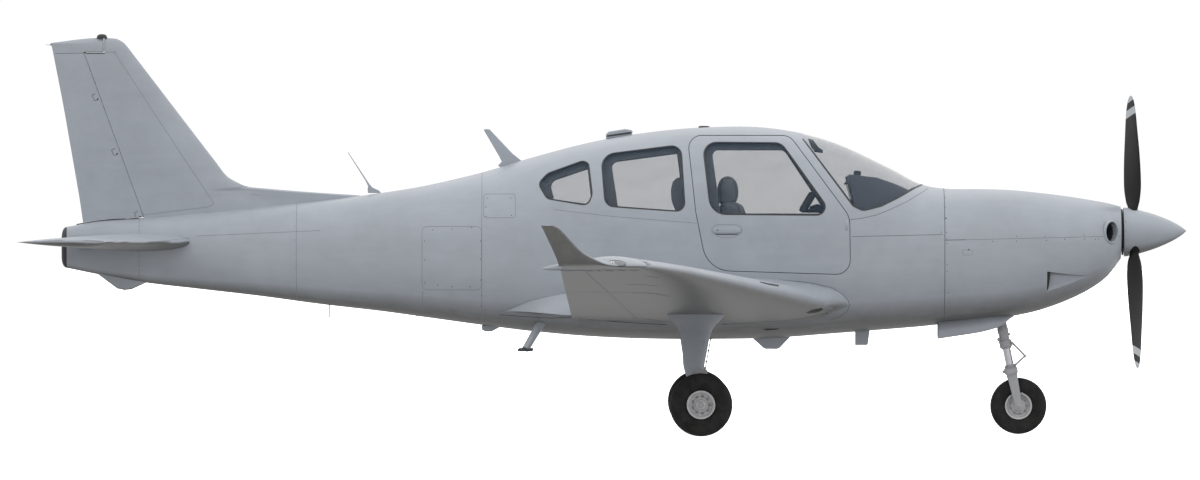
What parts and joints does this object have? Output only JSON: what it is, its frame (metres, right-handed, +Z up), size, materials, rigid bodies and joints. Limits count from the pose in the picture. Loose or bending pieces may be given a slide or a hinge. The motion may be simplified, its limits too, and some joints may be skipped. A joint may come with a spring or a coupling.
{
  "type": "light aircraft",
  "caption": "Low-wing single-engine light aircraft on fixed tricycle gear, with winglets, side doors, movable control surfaces, steering nose wheel and propeller.",
  "frame": {"origin": "on the ground under the centre of the whole aircraft's box", "axes": "+X to the nose, +Y to the aircraft's left, +Z up"},
  "size_m": [8.378, 10.3766, 2.8795],
  "materials": {
    "body_paint": "satin light blue-grey paint on composite",
    "dark_trim": "matte dark grey",
    "window_glass": "clear, slightly grey acrylic",
    "bare_metal": "silver-grey painted metal",
    "tyre_rubber": "black rubber with circumferential grooves",
    "blade_black": "matte black with silver-grey tip bands",
    "seat_cloth": "dark grey upholstery",
    "engine_metal": "bare cast alloy"
  },
  "bodies": {
    "airframe": {"cabin_shell": "body_paint", "tail_boom": "body_paint", "tail_end_cap": "dark_trim", "cabin_floor": "dark_trim", "rear_bulkhead": "dark_trim", "firewall": "bare_metal", "windshield": "window_glass", "upper_cowl": "body_paint", "lower_cowl": "body_paint", "cowl_exit": "body_paint", "engine_block": "engine_metal", "fin": "body_paint", "beacon": "dark_trim", "tail_tie_down": "body_paint", "roof_blade_antenna": "body_paint", "whip_antenna": "dark_trim", "roof_antenna": "body_paint", "belly_blade_antenna": "body_paint", "forward_belly_antenna": "body_paint", "instrument_panel": "dark_trim", "seat_rear": "seat_cloth", "nose_strut": "bare_metal", "rear_window_right": "window_glass", "rear_window_left": "window_glass", "middle_window_right": "window_glass", "middle_window_left": "window_glass", "wing_right": "body_paint", "wing_left": "body_paint", "wing_tip_right": "body_paint", "wing_tip_left": "body_paint", "stabiliser_right": "body_paint", "stabiliser_left": "body_paint", "main_leg_right": "body_paint", "main_leg_left": "body_paint", "boarding_step_right": "bare_metal", "boarding_step_left": "bare_metal", "seat_front_right": "seat_cloth", "seat_front_left": "seat_cloth"},
    "propeller": {"propeller": "blade_black", "spinner": "body_paint"},
    "nose_leg": {"nose_fork": "bare_metal", "steering_collar": "bare_metal"},
    "nose_wheel": {"hub_nose": "bare_metal", "tyre_nose": "tyre_rubber"},
    "elevator": {"elevator": "body_paint"},
    "rudder": {"rudder": "body_paint"},
    "main_wheel_right": {"hub_main_right": "bare_metal", "tyre_main_right": "tyre_rubber"},
    "door_right": {"door_right": "body_paint", "door_window_right": "window_glass"},
    "flap_right": {"flap_right": "body_paint"},
    "aileron_right": {"aileron_right": "body_paint"},
    "main_wheel_left": {"hub_main_left": "bare_metal", "tyre_main_left": "tyre_rubber"},
    "door_left": {"door_left": "body_paint", "door_window_left": "window_glass"},
    "flap_left": {"flap_left": "body_paint"},
    "aileron_left": {"aileron_left": "body_paint"}
  },
  "joints": [
    {"name": "propeller_spin", "type": "hinge", "parent": "airframe", "child": "propeller", "pos_m": [3.812, 0, 1.456], "axis": [0.9998, 0, 0.0175], "continuous": true},
    {"name": "main_wheel_right_spin", "type": "hinge", "parent": "airframe", "child": "main_wheel_right", "pos_m": [0.688, -1.45, 0.2245], "axis": [0, 1, 0], "continuous": true},
    {"name": "main_wheel_left_spin", "type": "hinge", "parent": "airframe", "child": "main_wheel_left", "pos_m": [0.688, 1.45, 0.2245], "axis": [0, 1, 0], "continuous": true},
    {"name": "nose_steering", "type": "hinge", "parent": "airframe", "child": "nose_leg", "pos_m": [2.982, 0, 0.203], "axis": [-0.2011, 0, 0.9796], "range_deg": [-30, 30]},
    {"name": "nose_wheel_spin", "type": "hinge", "parent": "nose_leg", "child": "nose_wheel", "pos_m": [2.982, 0, 0.203], "axis": [0, 1, 0], "continuous": true},
    {"name": "door_right_hinge", "type": "hinge", "parent": "airframe", "child": "door_right", "pos_m": [1.7645, -0.606, 1.2], "axis": [0, 0.0499, 0.9988], "range_deg": [0, 70]},
    {"name": "door_left_hinge", "type": "hinge", "parent": "airframe", "child": "door_left", "pos_m": [1.7645, 0.606, 1.2], "axis": [0, 0.0499, -0.9988], "range_deg": [0, 70]},
    {"name": "flap_right_hinge", "type": "hinge", "parent": "airframe", "child": "flap_right", "pos_m": [0.20052, -0.78, 0.90626], "axis": [-0.0913, -0.9928, 0.0779], "range_deg": [0, 35]},
    {"name": "flap_left_hinge", "type": "hinge", "parent": "airframe", "child": "flap_left", "pos_m": [0.20052, 0.78, 0.90626], "axis": [0.0913, -0.9928, -0.0779], "range_deg": [0, 35]},
    {"name": "aileron_right_hinge", "type": "hinge", "parent": "airframe", "child": "aileron_right", "pos_m": [0.00555, -2.9, 1.07255], "axis": [-0.0913, -0.9928, 0.0779], "range_deg": [-20, 20]},
    {"name": "aileron_left_hinge", "type": "hinge", "parent": "airframe", "child": "aileron_left", "pos_m": [0.00555, 2.9, 1.07255], "axis": [0.0913, -0.9928, -0.0779], "range_deg": [-20, 20]},
    {"name": "elevator_hinge", "type": "hinge", "parent": "airframe", "child": "elevator", "pos_m": [-3.775, 0, 1.381], "axis": [0, -1, 0], "range_deg": [-25, 15]},
    {"name": "rudder_hinge", "type": "hinge", "parent": "airframe", "child": "rudder", "pos_m": [-3.331, 0, 1.562], "axis": [-0.3406, 0, 0.9402], "range_deg": [-25, 25]}
  ],
  "couplings": [
    {"joint": "flap_left_hinge", "follows": "flap_right_hinge", "ratio": 1},
    {"joint": "aileron_left_hinge", "follows": "aileron_right_hinge", "ratio": -1}
  ]
}
